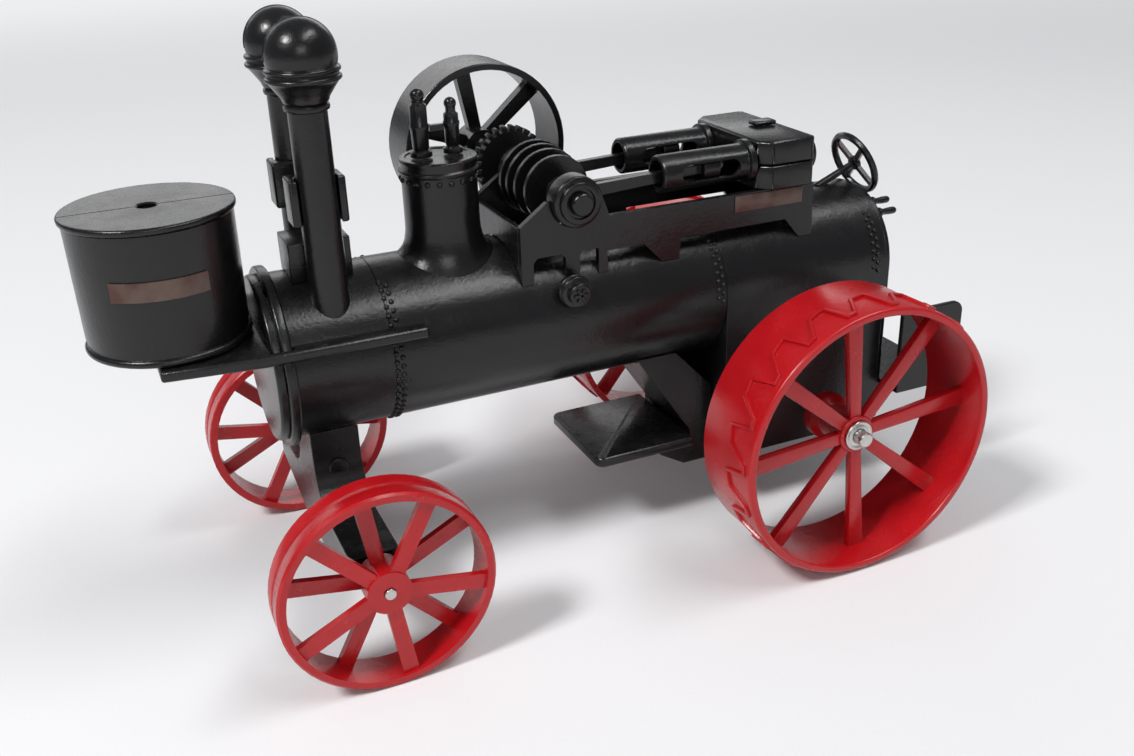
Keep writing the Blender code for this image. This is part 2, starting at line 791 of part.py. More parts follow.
def make_fittings():
    for side, sign in SIDES:
        radius = feed_valve_radius
        inner = bed_half_width + gap
        shape = [
            (0, inner),
            (radius * 0.62, inner),
            (radius * 0.62, feed_valve_collar_back - 0.0002),
            (radius, feed_valve_collar_back + 0.0002),
            (radius, feed_valve_collar_front - 0.0002),
            (radius * 0.70, feed_valve_collar_front + 0.0002),
            (radius * 0.70, feed_valve_face - 0.0006),
            (radius * 0.55, feed_valve_face),
            (0, feed_valve_face),
        ]
        shape = [(r, sign * place) for r, place in shape]
        place = (feed_valve_x, 0, feed_valve_z)
        valve = piece("feed_valve_" + side, turned(shape, "Y", small_steps), black, place)
        combine(valve, boiler_clearance)
    tilt = Matrix.Rotation(-pi / 2 + steering_tilt, 3, "Y")
    hub = (steering_x, 0, steering_z)
    column = turned(rod(column_radius, -column_length, -steering_hub / 2 - gap), "Z", small_steps)
    bmesh.ops.transform(column, matrix=tilt.to_4x4(), verts=column.verts)
    column_piece = piece("steering_column", column, black, hub)
    combine(column_piece, boiler_clearance)
    section = arc((steering_radius - steering_rim, 0), steering_rim, 0, 315, 7)
    rim = turned(section, "Z", medium_steps)
    bmesh.ops.transform(rim, matrix=tilt.to_4x4(), verts=rim.verts)
    wheel = piece("steering_wheel", rim, black, hub)
    boss = turned(rod(0.0028, -steering_hub / 2, steering_hub / 2, 0.0004), "Z", small_steps)
    bmesh.ops.transform(boss, matrix=tilt.to_4x4(), verts=boss.verts)
    combine(wheel, tool("steering_boss", boss, hub), "UNION")
    for number in range(4):
        turn = Matrix.Rotation(radians(45 + 90 * number), 3, "Z")
        spoke = block((0.0015, -0.0011, -0.0008), (steering_radius - steering_rim, 0.0011, 0.0008))
        bmesh.ops.transform(spoke, matrix=(tilt @ turn).to_4x4(), verts=spoke.verts)
        combine(wheel, tool("steering_spoke_" + str(number), spoke, hub), "UNION")
    for number, (y, z) in enumerate(lever_places):
        front = backhead_back - gap
        handle = [
            (0, front),
            (lever_radius + 0.0006, front),
            (lever_radius + 0.0006, front - 0.0012),
            (lever_radius * 0.8, front - 0.0016),
            (lever_radius, front - lever_length * 0.6),
            (lever_radius, front - lever_length + 0.0008),
            (lever_radius * 0.5, front - lever_length),
            (0, front - lever_length),
        ]
        piece("backhead_lever_" + str(number + 1), turned(handle, "X", small_steps), black, (0, y, z))


def make_footplate():
    """The driver's stand behind the firebox: a floor between two side panels, open at the back."""
    front = backhead_back - gap
    corner = footplate_corner
    outline = [(front, footplate_bottom), (front, footplate_side_top)]
    outline += arc((footplate_back + corner, footplate_side_top - corner), corner, 90, 180, 6)
    outline += [(footplate_back, footplate_bottom)]
    half = footplate_half_width
    plate = piece("footplate", prism(outline, "Y", -half, half), black, smooth=False)
    wall = footplate_wall
    low = (footplate_back - 0.01, -half + wall, footplate_bottom + wall)
    high = (front + 0.01, half - wall, footplate_side_top + 0.01)
    combine(plate, tool("footplate_space", block(low, high)))


def make_step():
    corner = step_corner
    half = step_half_width
    outline = [(step_back, -half)]
    outline += arc((step_front - corner, -half + corner), corner, -90, 0, 5)
    outline += arc((step_front - corner, half - corner), corner, 0, 90, 5)
    outline += [(step_back, half)]
    tread = prism(outline, "Z", step_top - step_thickness, step_top)
    step = piece("step_plate", tread, black, smooth=False)
    soften(step, 0.0006)
    back = firebox_front + gap
    under = step_top - step_thickness - gap
    face = step_back - gap
    bracket = [
        (back, step_bracket_bottom),
        (back + step_bracket_foot, step_bracket_bottom),
        (back + step_bracket_reach, under - step_bracket_nose),
        (back + step_bracket_reach, under),
        (face, under),
        (face, step_top + step_bracket_lip),
        (step_bracket_top_front, step_bracket_top),
        (step_bracket_top_back, step_bracket_top),
        (back, step_bracket_root),
    ]
    body = prism(bracket, "Y", -step_bracket_half_width, step_bracket_half_width)
    support = piece("step_bracket", body, black, smooth=False)
    combine(support, boiler_clearance)


def make_pedestal():
    """Column under the smokebox with an arm to each front wheel, one outline in (y, z)."""
    arm_top = front_wheel_radius + arm_end_height / 2
    arm_bottom = front_wheel_radius - arm_end_height / 2
    half = pedestal_half_width
    top = boiler_height
    flare = arc((half + pedestal_flare, arm_top + pedestal_flare), pedestal_flare, 180, 262, 8)
    arm = [(arm_end, arm_top), (arm_end, arm_bottom), (half + pedestal_foot_spread, pedestal_bottom)]
    side = [(half, top)] + flare + arm
    outline = side + [(-y, z) for y, z in reversed(side)]
    low = wheelbase - pedestal_length / 2
    body = piece("front_pedestal", prism(outline, "X", low, low + pedestal_length), black, smooth=False)
    combine(body, boiler_clearance)
    bore = turned(rod(front_axle_radius + running, -arm_end * 1.2, arm_end * 1.2), "Y", small_steps)
    combine(body, tool("front_axle_bore", bore, (wheelbase, 0, front_wheel_radius)))


# ---------------------------------------------------------------- running gear


def rear_rim_profile(sign):
    inner, outer = rear_wheel_inner_face, rear_wheel_outer_face
    inside = rear_wheel_radius - rear_rim_wall
    profile = [
        (inside, inner),
        (rear_wheel_radius - 0.0005, inner),
        (rear_wheel_radius, inner + 0.0005),
        (rear_wheel_radius, outer - 0.0008),
        (rear_wheel_radius - 0.0008, outer),
        (inside, outer),
    ]
    return [(radius, sign * place) for radius, place in profile]


def front_rim_profile(sign):
    inner, outer = front_wheel_inner_face, front_wheel_outer_face
    inside = front_wheel_radius - front_rim_wall
    groove = front_wheel_radius - front_groove_depth
    middle = (inner + outer) / 2
    profile = [
        (inside, inner),
        (front_wheel_radius - 0.0004, inner),
        (front_wheel_radius, inner + 0.0004),
        (front_wheel_radius, middle - 0.0008),
        (groove, middle - 0.0004),
        (groove, middle + 0.0006),
        (front_wheel_radius, middle + 0.0010),
        (front_wheel_radius, outer - 0.0008),
        (front_wheel_radius - 0.0008, outer),
        (inside, outer),
    ]
    return [(radius, sign * place) for radius, place in profile]


def wheel_with_hub(name, rim, steps, bore, hub_radius, hub_faces, place):
    """A rim with its hub. Returns the wheel and the joint point on its axis."""
    centre = joint_point(name + "_centre", *place)
    wheel = piece(name, turned(rim, "Y", steps), red, parent=centre)
    hub = turned(sleeve(bore, hub_radius, *sorted(hub_faces)), "Y", medium_steps)
    combine(wheel, tool(name + "_hub", hub, place), "UNION")
    return wheel, centre


def make_wheels():
    rear_place = (0, 0, rear_wheel_radius)
    front_place = (wheelbase, 0, front_wheel_radius)
    for side, sign in SIDES:
        wheel, centre = wheel_with_hub(
            "rear_wheel_" + side,
            rear_rim_profile(sign),
            boiler_steps,
            rear_axle_radius + running,
            rear_hub_radius,
            (sign * (rear_wheel_inner_face + wheel_face_step), sign * rear_hub_face),
            rear_place,
        )
        add_spokes(
            wheel,
            "rear_spoke_" + side,
            rear_spoke_count,
            rear_spoke_turn,
            (rear_hub_radius, rear_wheel_radius - rear_rim_wall),
            rear_spoke_widths,
            (sign * (rear_spoke_face - rear_spoke_thickness / 2),),
            rear_spoke_thickness,
            centre,
        )
        wheel, centre = wheel_with_hub(
            "front_wheel_" + side,
            front_rim_profile(sign),
            large_steps,
            front_axle_radius + running,
            front_hub_radius,
            (sign * (front_wheel_inner_face + wheel_face_step), sign * front_hub_face),
            front_place,
        )
        outer = front_wheel_outer_face - front_spoke_inset_outer - front_spoke_thickness / 2
        inner = front_wheel_inner_face + front_spoke_inset_inner + front_spoke_thickness / 2
        add_spokes(
            wheel,
            "front_spoke_" + side,
            front_spoke_count,
            front_spoke_turn,
            (front_hub_radius, front_wheel_radius - front_rim_wall),
            front_spoke_widths,
            (sign * outer, sign * inner),
            front_spoke_thickness,
            centre,
        )
        nut_back = rear_hub_face + gap
        nut_faces = sorted((sign * nut_back, sign * (nut_back + push_nut_thickness)))
        nut = sleeve(rear_axle_radius + running, push_nut_radius, *nut_faces)
        piece("push_nut_" + side, turned(nut, "Y", small_steps), steel, rear_place)
    rear = rod(rear_axle_radius, -rear_axle_end, rear_axle_end, 0.0004)
    piece("rear_axle", turned(rear, "Y", small_steps), steel, rear_place)
    front = rod(front_axle_radius, -front_axle_end, front_axle_end, 0.0003)
    piece("front_axle", turned(front, "Y", small_steps), steel, front_place)


make_boiler()
make_deck()
make_tank()
make_chimneys()
make_dome()
make_bed()
make_crank()
make_cylinders()
make_fittings()
make_footplate()
make_step()
make_pedestal()
make_wheels()
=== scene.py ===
# %% [markdown]
# # A cast toy traction engine
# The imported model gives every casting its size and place. This lesson dresses it: enamel over a
# cast skin, rivets along the boiler seams, a zig-zag tread on the rear wheels, and bare steel where
# the axles end. Nothing is moved, because the bodies have to keep turning about their own axes.

import json
from math import cos, pi, radians, sin, sqrt

import bmesh
import bpy
from mathutils import Matrix, Vector


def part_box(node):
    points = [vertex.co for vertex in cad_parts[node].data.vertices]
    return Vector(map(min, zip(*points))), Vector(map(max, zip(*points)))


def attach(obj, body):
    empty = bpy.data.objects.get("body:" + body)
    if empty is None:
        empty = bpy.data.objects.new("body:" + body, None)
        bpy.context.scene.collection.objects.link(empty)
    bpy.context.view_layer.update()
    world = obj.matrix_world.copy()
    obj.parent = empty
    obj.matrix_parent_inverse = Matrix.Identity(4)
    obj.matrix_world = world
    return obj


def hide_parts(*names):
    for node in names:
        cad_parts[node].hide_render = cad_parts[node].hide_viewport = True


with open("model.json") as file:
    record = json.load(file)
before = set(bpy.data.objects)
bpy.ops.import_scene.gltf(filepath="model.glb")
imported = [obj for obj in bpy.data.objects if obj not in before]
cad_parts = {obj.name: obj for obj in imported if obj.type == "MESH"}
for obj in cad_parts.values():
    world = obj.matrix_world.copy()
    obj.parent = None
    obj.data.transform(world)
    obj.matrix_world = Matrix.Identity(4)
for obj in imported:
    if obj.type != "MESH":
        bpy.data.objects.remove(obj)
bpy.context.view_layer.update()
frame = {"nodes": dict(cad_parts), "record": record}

# %% [markdown]
# Measurements come from the nodes' boxes, so a piece made here still fits if the casting changes.
# Profiles below are written in millimetres, as a workshop drawing is, and turned into metres when
# a mesh is made.

# %% Measure the castings
X, Y, Z = 0, 1, 2
MM = 0.001
SIDES = (("left", 1), ("right", -1))


def middle(node):
    low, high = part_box(node)
    return (low + high) / 2


def half(node, axis):
    low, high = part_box(node)
    return (high[axis] - low[axis]) / 2


def outward_span(node):
    """Nearest and farthest distance from the middle plane, in mm."""
    low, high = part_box(node)
    ends = (abs(low.y) / MM, abs(high.y) / MM)
    return min(ends), max(ends)


boiler_axis = middle("boiler_barrel")
boiler_radius = half("boiler_barrel", Z)
boiler_top = boiler_axis.z + boiler_radius
print("boiler radius", round(boiler_radius, 4), "axis height", round(boiler_axis.z, 4))

# %% [markdown]
# ## Paint and metal
# A material could be one flat colour, but cast toys show the skin of the casting under the paint:
# a soft orange peel, a few pits and dust on top. Shader maths reads best as ordinary sums, so a
# small class wraps a socket and turns + and * into Math nodes.


# %% A socket that can be used in sums
class Wire:
    """One output socket that can be used in sums."""

    def __init__(self, finish, socket):
        self.finish = finish
        self.socket = socket

    def math(self, operation, first, second):
        return self.finish.node("ShaderNodeMath", {"operation": operation}, {0: first, 1: second})

    def __add__(self, other):
        return self.math("ADD", self, other)

    def __sub__(self, other):
        return self.math("SUBTRACT", self, other)

    def __rsub__(self, other):
        return self.math("SUBTRACT", other, self)

    def __mul__(self, other):
        return self.math("MULTIPLY", self, other)

    __radd__ = __add__
    __rmul__ = __mul__


# %% [markdown]
# A finish is a material whose nodes are added one call at a time. Each node takes its settings
# first and its values or links after, because a setting can change which sockets a node has.

# %% A finish
MIX_FACTOR, MIX_FIRST, MIX_SECOND, MIX_RESULT = 0, 6, 7, 2  # a Mix node's colour sockets


def with_alpha(colour):
    return (*colour, 1.0) if isinstance(colour, tuple) else colour


class Finish:
    """A material whose nodes are added one call at a time."""

    def __init__(self, name):
        self.material = bpy.data.materials.new(name)
        self.material.use_nodes = True
        self.tree = self.material.node_tree
        self.shader = self.tree.nodes["Principled BSDF"]
        self.place = self.node("ShaderNodeTexCoord", {}, {}, "Object")

    def feed(self, socket, value):
        if isinstance(value, Wire):
            self.tree.links.new(value.socket, socket)
        else:
            socket.default_value = value

    def node(self, kind, settings, values, output=0):
        made = self.tree.nodes.new(kind)
        for name, value in settings.items():
            setattr(made, name, value)
        for name, value in values.items():
            self.feed(made.inputs[name], value)
        return Wire(self, made.outputs[output])

    def noise(self, scale, detail=3.0, roughness=0.5):
        values = {"Vector": self.place, "Scale": scale, "Detail": detail, "Roughness": roughness}
        return self.node("ShaderNodeTexNoise", {}, values, "Fac")

    def band(self, value, low, high):
        """0 below low, 1 above high."""
        values = {"Value": value, "From Min": low, "From Max": high, "To Min": 0.0, "To Max": 1.0}
        return self.node("ShaderNodeMapRange", {"interpolation_type": "SMOOTHSTEP"}, values, "Result")

    def mix(self, factor, first, second):
        values = {MIX_FACTOR: factor, MIX_FIRST: with_alpha(first), MIX_SECOND: with_alpha(second)}
        return self.node("ShaderNodeMix", {"data_type": "RGBA"}, values, MIX_RESULT)

    def bump(self, height, distance, strength=1.0):
        values = {"Height": height, "Distance": distance, "Strength": strength}
        return self.node("ShaderNodeBump", {}, values, "Normal")

    def facing_up(self):
        """1 on level tops, 0 on walls."""
        normal = self.node("ShaderNodeNewGeometry", {}, {}, "Normal")
        up = self.node("ShaderNodeSeparateXYZ", {}, {0: normal}, "Z")
        return self.band(up, 0.35, 0.95)

    def set(self, **values):
        for name, value in values.items():
            self.feed(self.shader.inputs[name.replace("_", " ")], value)
        return self.material


# %% [markdown]
# ## Black enamel
# The castings are dipped or sprayed with a semi-gloss black. A broad noise varies its gloss, a fine
# one is the casting's grain, and a little dust settles where a face looks up. One noise could do
# all three, but then the dust would follow the grain.


# %% Black enamel
def black_enamel():
    paint = Finish("black_enamel")
    broad = paint.noise(45.0, 4.0)
    grain = paint.noise(850.0, 3.0, 0.6)
    runs = paint.noise(170.0, 3.0)
    specks = paint.band(paint.noise(1500.0, 2.0), 0.69, 0.77)
    dust = paint.facing_up() * paint.band(paint.noise(160.0, 5.0, 0.65), 0.42, 0.80)
    colour = paint.mix(broad, (0.0026, 0.0027, 0.0030), (0.0062, 0.0063, 0.0068))
    colour = paint.mix(dust * 0.14, colour, (0.050, 0.049, 0.048))
    colour = paint.mix(specks * 0.16, colour, (0.110, 0.108, 0.105))
    rough = 0.20 + broad * 0.12 + dust * 0.08
    normal = paint.bump(grain * 0.6 + runs * 0.8 + broad * 1.2, 0.00022, 0.60)
    return paint.set(Base_Color=colour, Roughness=rough, Normal=normal, Specular_IOR_Level=0.42)


# %% [markdown]
# ## Red enamel
# The wheels are a deep signal red with a higher gloss. The coat is uneven over the casting. Its small
# pits are a bump, and the same pits are darkened in the colour as painted shade, so both read alike.


# %% Red enamel
def red_enamel():
    paint = Finish("red_enamel")
    broad = paint.noise(60.0, 4.0)
    grain = paint.noise(700.0, 3.0, 0.6)
    pits_and_painted_shade = paint.band(paint.noise(1100.0, 2.0), 0.66, 0.76)
    colour = paint.mix(broad, (0.33, 0.0030, 0.0060), (0.50, 0.0070, 0.0110))
    # painted shade: the red is darkened in the pits, where the bump sinks
    colour = paint.mix(pits_and_painted_shade * 0.45, colour, (0.12, 0.003, 0.004))
    rough = 0.20 + broad * 0.12
    normal = paint.bump(grain * 0.7 + broad * 0.6 - pits_and_painted_shade * 0.5, 0.00022, 0.50)
    return paint.set(Base_Color=colour, Roughness=rough, Normal=normal)


# %% [markdown]
# ## Bare metal
# The axle pins and their push nuts are plain steel, smeared by handling. The two small plates are
# an old bronze colour with traces of red. A smear in the roughness does most of the work, because
# bare metal shows little but what it mirrors.


# %% Steel and plates
def bright_steel():
    metal = Finish("bright_steel")
    smear = metal.noise(350.0, 4.0)
    colour = metal.mix(smear, (0.46, 0.45, 0.43), (0.68, 0.67, 0.65))
    normal = metal.bump(smear, 0.0001, 0.4)
    return metal.set(Base_Color=colour, Roughness=0.18 + smear * 0.22, Metallic=1.0, Normal=normal)


def bare_plate():
    plate = Finish("bare_plate")
    smear = plate.noise(260.0, 4.0)
    worn = plate.band(plate.noise(90.0, 3.0), 0.45, 0.70)
    colour = plate.mix(smear, (0.085, 0.055, 0.046), (0.17, 0.12, 0.10))
    colour = plate.mix(worn * 0.5, colour, (0.060, 0.010, 0.008))
    normal = plate.bump(smear, 0.0001, 0.4)
    return plate.set(Base_Color=colour, Roughness=0.30 + smear * 0.20, Metallic=0.75, Normal=normal)


SLOTS = {"black_paint": black_enamel(), "red_paint": red_enamel(), "bare_steel": bright_steel()}
PLATE = bare_plate()
slot_of = {part["node"]: part["material_slot"] for part in frame["record"]["subparts"]}
print("finishes:", [finish.name for finish in (*SLOTS.values(), PLATE)])

# %% [markdown]
# ## Making a piece
# Each new piece starts as a bmesh. This one function closes it, names it, gives it a finish and
# puts it on a body. Every piece is shaded smooth up to an angle, so that a crease stays a crease.

# %% Make a piece
MERGE = 1e-7


def make(name, bm, body, material=None, slot="black_paint", replaces=(), sharp=40):
    bmesh.ops.remove_doubles(bm, verts=bm.verts, dist=MERGE)
    bmesh.ops.recalc_face_normals(bm, faces=bm.faces)
    mesh = bpy.data.meshes.new(name)
    bm.to_mesh(mesh)
    bm.free()
    mesh.materials.append(material or SLOTS[slot])
    mesh.shade_smooth()
    mesh.set_sharp_from_angle(angle=radians(sharp))
    piece = bpy.data.objects.new(name, mesh)
    bpy.context.scene.collection.objects.link(piece)
    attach(piece, body)
    if replaces:
        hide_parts(*replaces)
    print(name, len(mesh.polygons), "faces")
    return piece


# %% [markdown]
# ## Turned pieces
# Chimneys, dome, tank and bearings were turned patterns before they were castings. A profile of a
# few (radius, height) pairs is spun round an axis. Rounded stretches come from a small arc helper,
# because a hand-typed curve is never quite even.

# %% Spin a profile
AXIS_TURNS = {
    "X": Matrix.Rotation(pi / 2, 3, "Y"),
    "Y": Matrix.Rotation(-pi / 2, 3, "X"),
    "Z": Matrix.Identity(3),
}


def bow(centre, radius, first, last, count):
    """Points on an arc in the (radius, height) plane, angles in degrees from the radius axis."""
    angles = [radians(first + (last - first) * n / count) for n in range(count + 1)]
    return [(max(centre[0] + radius * cos(a), 0.0), centre[1] + radius * sin(a)) for a in angles]


def spun(profile, place=(0, 0, 0), axis="Z", steps=72):
    """A turned piece. Heights in the profile run along the axis from the place."""
    bm = bmesh.new()
    points = [bm.verts.new((radius * MM, 0, height * MM)) for radius, height in profile]
    edges = [bm.edges.new(pair) for pair in zip(points, points[1:])]
    if min(radius for radius, height in profile) > 0:
        edges.append(bm.edges.new((points[-1], points[0])))
    bmesh.ops.spin(
        bm, geom=points + edges, cent=(0, 0, 0), axis=(0, 0, 1), angle=2 * pi, steps=steps, use_merge=True
    )
    bmesh.ops.remove_doubles(bm, verts=bm.verts, dist=MERGE)
    bmesh.ops.rotate(bm, cent=(0, 0, 0), matrix=AXIS_TURNS[axis], verts=bm.verts)
    bmesh.ops.translate(bm, vec=Vector(place), verts=bm.verts)
    return bm


# %% [markdown]
# A piece on the engine's left has a twin on its right, with its heights turned about the middle
# plane. Some turned pieces also need cutting through, and a cut leaves an open shell, so the same
# helper closes it.


# %% Twins, cuts and joins
def to_side(profile, sign):
    return [(radius, sign * height) for radius, height in profile]


def keep_beyond(bm, point, direction):
    """Cuts with a plane, keeps what lies in the direction, and closes the cut."""
    bmesh.ops.bisect_plane(
        bm,
        geom=bm.verts[:] + bm.edges[:] + bm.faces[:],
        dist=MERGE,
        plane_co=point,
        plane_no=direction,
        clear_inner=True,
    )
    bmesh.ops.holes_fill(bm, edges=[edge for edge in bm.edges if edge.is_boundary])


def join(target, extra):
    """Adds one bmesh to another."""
    mesh = bpy.data.meshes.new("joined")
    extra.to_mesh(mesh)
    extra.free()
    target.from_mesh(mesh)
    bpy.data.meshes.remove(mesh)


# %% [markdown]
# Spokes, gear teeth, plates and tread bars all start as a cube that is stretched and bevelled. A
# bar that will be bent is first cut along its length, because a face can't bend in its middle.


# %% A bar with rounded edges
CORNER = 1.0  # radians between two faces
LEAST_RUN = 1e-6  # an edge that runs further than this along x can be cut


def bar(size, matrix, edge=0.0, cuts=0):
    """size in mm; cuts divide its length, so that it can be bent."""
    bm = bmesh.new()
    bmesh.ops.create_cube(bm, size=1, matrix=Matrix.Diagonal((*(Vector(size) * MM), 1)))
    if cuts:
        along = [e for e in bm.edges if abs(e.verts[0].co.x - e.verts[1].co.x) > LEAST_RUN]
        bmesh.ops.subdivide_edges(bm, edges=along, cuts=cuts)
    if edge:
        sharp = [e for e in bm.edges if len(e.link_faces) == 2 and e.calc_face_angle() > CORNER]
        bmesh.ops.bevel(
            bm,
            geom=sharp,
            offset=edge * MM,
            offset_type="OFFSET",
            segments=2,
            profile=0.5,
            affect="EDGES",
            material=-1,
            clamp_overlap=True,
        )
    bmesh.ops.transform(bm, matrix=matrix, verts=bm.verts)
    return bm


# %% [markdown]
# ## Rivets
# A rivet head is a low dome sunk a little into its wall. There are well over a hundred, so each one
# has only a few faces, and all the heads on the boiler are a single mesh.

# %% Rivet heads
RIVET = 0.95 * MM
RIVET_HEIGHT = 0.85 * MM
RIVET_STEP = 6.4  # degrees


def stud(bm, place, outward, radius, height):
    turn = Vector((0, 0, 1)).rotation_difference(Vector(outward).normalized()).to_matrix().to_4x4()
    shape = Matrix.Diagonal((radius, radius, height, 1))
    fit = Matrix.Translation(place) @ turn @ shape
    bmesh.ops.create_uvsphere(bm, u_segments=10, v_segments=6, radius=1, matrix=fit)


def rivet_row(bm, x, first, last):
    """Heads round the boiler from one angle to another, in degrees from +Y."""
    for number in range(int((last - first) / RIVET_STEP) + 1):
        angle = radians(first + RIVET_STEP * number)
        out = Vector((0, cos(angle), sin(angle)))
        stud(bm, Vector((x, 0, boiler_axis.z)) + out * boiler_radius, out, RIVET, RIVET_HEIGHT)


# %% [markdown]
# Each seam has two rows, set half a step apart as a boilermaker sets them. The rows stop where the
# chimneys, the engine bed or the firebox's flat sides begin.

# %% Boiler rivets
front_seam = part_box("boiler_barrel")[1].x
back_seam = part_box("boiler_barrel")[0].x
end_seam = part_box("firebox")[0].x
ROW_GAP = 1.9 * MM
FRONT_ROWS = ((-2.3 * MM, 0.0), (-0.2 * MM, RIVET_STEP / 2))  # distance from the seam, first angle
BACK_ROWS = (back_seam + 1.4 * MM, end_seam + 4.1 * MM)
rivets = bmesh.new()
for shift, lead in FRONT_ROWS:
    rivet_row(rivets, front_seam + shift, -180 + lead, 62)
    rivet_row(rivets, front_seam + shift, 118 + lead, 180)
for x in BACK_ROWS:
    for low, high in ((-1, 50), (130, 181)):
        rivet_row(rivets, x, low, high)
        rivet_row(rivets, x + ROW_GAP, low + RIVET_STEP / 2, high)
make("boiler_rivets", rivets, "chassis")

# %% [markdown]
# ## Boiler, smokebox and door
# The barrel is one long turned drum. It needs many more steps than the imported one, because a broad
# highlight shows every flat. The smokebox's ring and door are drums too, with rounded edges.

# %% Boiler
BOILER_STEPS = 160
RING_EDGE = 0.9
RING_LIP = 2.6
RING_DISH = 0.3
DOOR_EDGE = 1.2


def barrel_profile(radius, length):
    return [(0, 0), (radius, 0), (radius, length), (0, length)]


def ring_profile(radius, length):
    back = bow((radius - RING_EDGE, RING_EDGE), RING_EDGE, -90, 0, 4)
    front = bow((radius - RING_EDGE, length - RING_EDGE), RING_EDGE, 0, 90, 4)
    face = length - RING_DISH
    return [(0, 0), (radius - RING_EDGE, 0)] + back + front + [(radius - RING_LIP, face), (0, face)]


def door_profile(radius, length):
    front = bow((radius - DOOR_EDGE, length - DOOR_EDGE), DOOR_EDGE, 0, 90, 5)
    return [(0, 0), (radius, 0)] + front + [(0, length)]


drums = (
    ("boiler_barrel", barrel_profile),
    ("smokebox", barrel_profile),
    ("smokebox_ring", ring_profile),
    ("smokebox_door", door_profile),
)
for node, shape in drums:
    low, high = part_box(node)
    profile = shape(half(node, Z) / MM, (high.x - low.x) / MM)
    bm = spun(profile, (low.x, 0, boiler_axis.z), "X", BOILER_STEPS)
    make(node + "_drum", bm, "chassis", replaces=(node,), sharp=30)

# %% [markdown]
# ## Front tank
# The tank is a drum with a bead at its foot and a filler well in its top. Its wall leans out a
# little towards the lid, which let the pattern out of its mould.

# %% Tank
TANK_STEPS = 144
TANK_WALL = 25.3
TANK_LEAN = 0.4
BEAD_RADIUS = 26.0
BEAD = 1.3
HOLE = 3.0
WELL_DEPTH = 8.0
tank = middle("front_tank")
tank_low, tank_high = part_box("front_tank")
tank_height = (tank_high.z - tank_low.z) / MM
bead = bow((BEAD_RADIUS - BEAD, BEAD), BEAD, -90, 80, 8)
wall = [(TANK_WALL - TANK_LEAN, 3.1), (TANK_WALL, 5.0), (TANK_WALL + TANK_LEAN, tank_height)]
bottom = tank_height - WELL_DEPTH
well = [(HOLE + 0.2, tank_height), (HOLE + 0.2, bottom), (0, bottom)]
bm = spun([(0, 0)] + bead + wall + well, (tank.x, 0, tank_low.z), steps=TANK_STEPS)
make("front_tank_drum", bm, "chassis", replaces=("front_tank",))

# %% [markdown]
# The lid is cast in two halves, so a fine parting line runs across it, with the filler hole in the
# middle. Half a lid is cut with a plane and closed, and a mirror makes the other half. A dark line
# in the paint would be quicker, but it wouldn't catch the light along its edges.

# %% Tank lid
SEAM = 0.28 * MM
LID_EDGE = 0.9
lid_low, lid_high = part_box("tank_lid")
lid_radius = half("tank_lid", X) / MM
lid_height = (lid_high.z - lid_low.z) / MM
lower = bow((lid_radius - LID_EDGE, LID_EDGE), LID_EDGE, -90, 0, 4)
upper = bow((lid_radius - LID_EDGE, lid_height - LID_EDGE), LID_EDGE, 0, 90, 5)
flat = [(lid_radius - 1.6, lid_height), (HOLE + 0.9, lid_height)]
lip = [(HOLE + 0.5, lid_height - 0.05), (HOLE, lid_height - 0.4)]
lid = spun([(HOLE, 0)] + lower + upper + flat + lip, (tank.x, 0, lid_low.z), steps=TANK_STEPS)
keep_beyond(lid, (0, SEAM, 0), (0, 1, 0))
bmesh.ops.mirror(lid, geom=lid.verts[:] + lid.edges[:] + lid.faces[:], merge_dist=0, axis="Y")
make("tank_lid_halves", lid, "chassis", replaces=("tank_lid",))

# %% [markdown]
# ## Plates
# The tank and the bed carry small blank plates. The tank's plate follows the drum, so it starts as a
# flat bar with cuts along its length and is rolled round the tank's axis.

# %% Plates
PLATE_THICKNESS = 0.7
PLATE_FIRST, PLATE_LAST = radians(51.5), radians(118.5)  # round the tank from +X
PLATE_HEIGHT = 6.1
PLATE_RISE = 24.8 * MM
BED_PLATE = (29.0, PLATE_THICKNESS, 6.0)
BED_PLATE_SHIFT = Vector((19.7, 0.15, 16.5)) * MM  # from the bed side's back, outer, lower corner


def roll(bm, centre, radius):
    """Bends a flat mesh round a vertical axis: x is the way round, y the depth, z stays."""
    for vert in bm.verts:
        angle = vert.co.x / radius
        reach = radius + vert.co.y
        vert.co = Vector((centre.x + reach * cos(angle), centre.y + reach * sin(angle), vert.co.z))


plate_radius = (TANK_WALL + 0.3) * MM
plate_length = (PLATE_LAST - PLATE_FIRST) * plate_radius
plate_middle = (PLATE_FIRST + PLATE_LAST) / 2 * plate_radius
shift = Matrix.Translation((plate_middle, 0.1 * MM, tank_low.z + PLATE_RISE))
tank_plate = bar((plate_length / MM, PLATE_THICKNESS, PLATE_HEIGHT), shift, cuts=24)
roll(tank_plate, tank, plate_radius)
make("tank_plate", tank_plate, "chassis", PLATE)

bed_low, bed_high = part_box("bed_side_left")
corner = Vector((bed_low.x, bed_high.y, bed_low.z))
make("bed_plate", bar(BED_PLATE, Matrix.Translation(corner + BED_PLATE_SHIFT), 0.12), "chassis", PLATE)

# %% [markdown]
# ## Chimneys
# Each stack ends in a ball with two thin ribs round its throat, and a plain ring lower down. One
# profile serves both, because the stacks are alike. The ball's parting seam is the upper part of a
# thin ring that stands just out of it.

